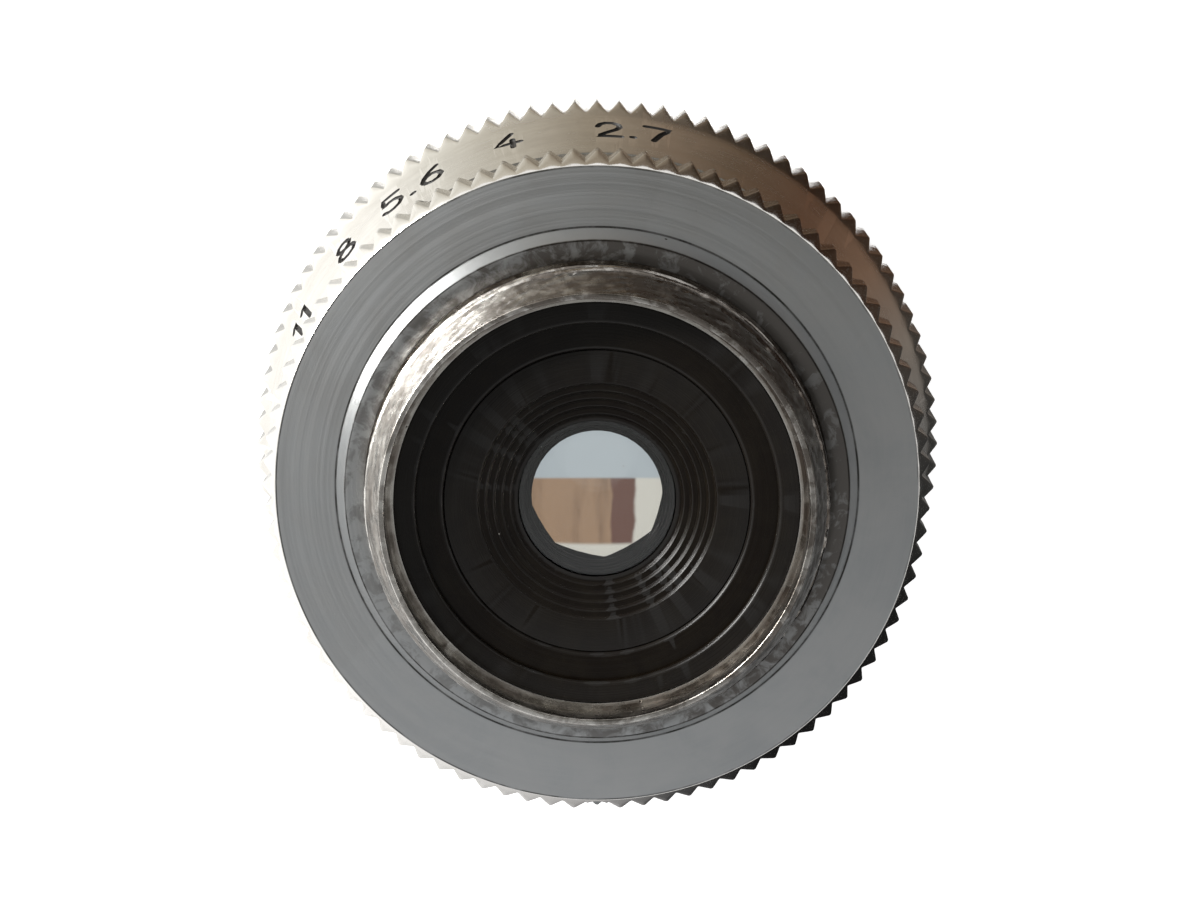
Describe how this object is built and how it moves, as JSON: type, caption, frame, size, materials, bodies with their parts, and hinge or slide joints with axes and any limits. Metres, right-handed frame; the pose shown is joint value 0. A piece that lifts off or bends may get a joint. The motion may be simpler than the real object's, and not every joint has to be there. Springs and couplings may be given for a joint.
{
  "type": "cine lens",
  "caption": "Small fixed-focus cine lens with a threaded rear stub, satin flange, two knurled rings and a bladed iris worked by the numbered aperture ring.",
  "frame": {"origin": "centre of the bottom of the box, on the optical axis in the plane of the front ring's face", "axes": "+Z along the optical axis, from the front of the lens towards the camera mount; +Y is up in the picture, the side of the index mark; +X is right in the picture"},
  "size_m": [0.0254, 0.0254, 0.0197],
  "materials": {
    "satin_flange": "satin chrome plate on brass, fine turned face",
    "worn_thread": "worn and nicked chrome plate on brass, rubbed thread",
    "bright_chrome": "semi-bright chrome plate on brass, knurled, slightly dulled",
    "black_anodise": "matt black with satin turned edges",
    "black_blade": "thin blued steel, matt black",
    "steel": "plain turned steel",
    "spring_steel": "rolled spring strip",
    "lens_glass": "polished optical glass, thin blue coating"
  },
  "bodies": {
    "lens_body": {"main_tube": "worn_thread", "flange_barrel": "satin_flange", "flange_set_screw": "steel", "friction_spring": "spring_steel", "front_ring": "bright_chrome", "front_hood": "black_anodise", "front_cell": "black_anodise", "middle_lens": "lens_glass", "lens_spacer": "black_anodise", "front_lens": "lens_glass", "front_retainer": "black_anodise", "iris_base_plate": "black_anodise", "rear_cell": "black_anodise", "rear_lens": "lens_glass", "rear_retainer": "black_anodise"},
    "ring": {"aperture_ring": "bright_chrome", "drive_screw": "steel", "iris_drive_ring": "black_anodise"},
    "blade_1": {"iris_blade_1": "black_blade"},
    "blade_2": {"iris_blade_2": "black_blade"},
    "blade_3": {"iris_blade_3": "black_blade"},
    "blade_4": {"iris_blade_4": "black_blade"},
    "blade_5": {"iris_blade_5": "black_blade"},
    "blade_6": {"iris_blade_6": "black_blade"},
    "blade_7": {"iris_blade_7": "black_blade"},
    "blade_8": {"iris_blade_8": "black_blade"}
  },
  "joints": [
    {"name": "aperture_turn", "type": "hinge", "parent": "lens_body", "child": "ring", "pos_m": [0, 0, 0.0055], "axis": [0, 0, 1], "range_deg": [-66, 6]},
    {"name": "blade_1_swing", "type": "hinge", "parent": "lens_body", "child": "blade_1", "pos_m": [0.00525, -0.00069, 0.0161], "axis": [0, 0, 1], "range_deg": [-17.51, 1.61]},
    {"name": "blade_2_swing", "type": "hinge", "parent": "lens_body", "child": "blade_2", "pos_m": [0.0042, 0.00323, 0.0161], "axis": [0, 0, 1], "range_deg": [-17.51, 1.61]},
    {"name": "blade_3_swing", "type": "hinge", "parent": "lens_body", "child": "blade_3", "pos_m": [0.00069, 0.00525, 0.0161], "axis": [0, 0, 1], "range_deg": [-17.51, 1.61]},
    {"name": "blade_4_swing", "type": "hinge", "parent": "lens_body", "child": "blade_4", "pos_m": [-0.00323, 0.0042, 0.0161], "axis": [0, 0, 1], "range_deg": [-17.51, 1.61]},
    {"name": "blade_5_swing", "type": "hinge", "parent": "lens_body", "child": "blade_5", "pos_m": [-0.00525, 0.00069, 0.0161], "axis": [0, 0, 1], "range_deg": [-17.51, 1.61]},
    {"name": "blade_6_swing", "type": "hinge", "parent": "lens_body", "child": "blade_6", "pos_m": [-0.0042, -0.00323, 0.0161], "axis": [0, 0, 1], "range_deg": [-17.51, 1.61]},
    {"name": "blade_7_swing", "type": "hinge", "parent": "lens_body", "child": "blade_7", "pos_m": [-0.00069, -0.00525, 0.0161], "axis": [0, 0, 1], "range_deg": [-17.51, 1.61]},
    {"name": "blade_8_swing", "type": "hinge", "parent": "lens_body", "child": "blade_8", "pos_m": [0.00323, -0.0042, 0.0161], "axis": [0, 0, 1], "range_deg": [-17.51, 1.61]}
  ],
  "couplings": [
    {"joint": "blade_1_swing", "follows": "aperture_turn", "ratio": 0.265},
    {"joint": "blade_2_swing", "follows": "aperture_turn", "ratio": 0.265},
    {"joint": "blade_3_swing", "follows": "aperture_turn", "ratio": 0.265},
    {"joint": "blade_4_swing", "follows": "aperture_turn", "ratio": 0.265},
    {"joint": "blade_5_swing", "follows": "aperture_turn", "ratio": 0.265},
    {"joint": "blade_6_swing", "follows": "aperture_turn", "ratio": 0.265},
    {"joint": "blade_7_swing", "follows": "aperture_turn", "ratio": 0.265},
    {"joint": "blade_8_swing", "follows": "aperture_turn", "ratio": 0.265}
  ]
}
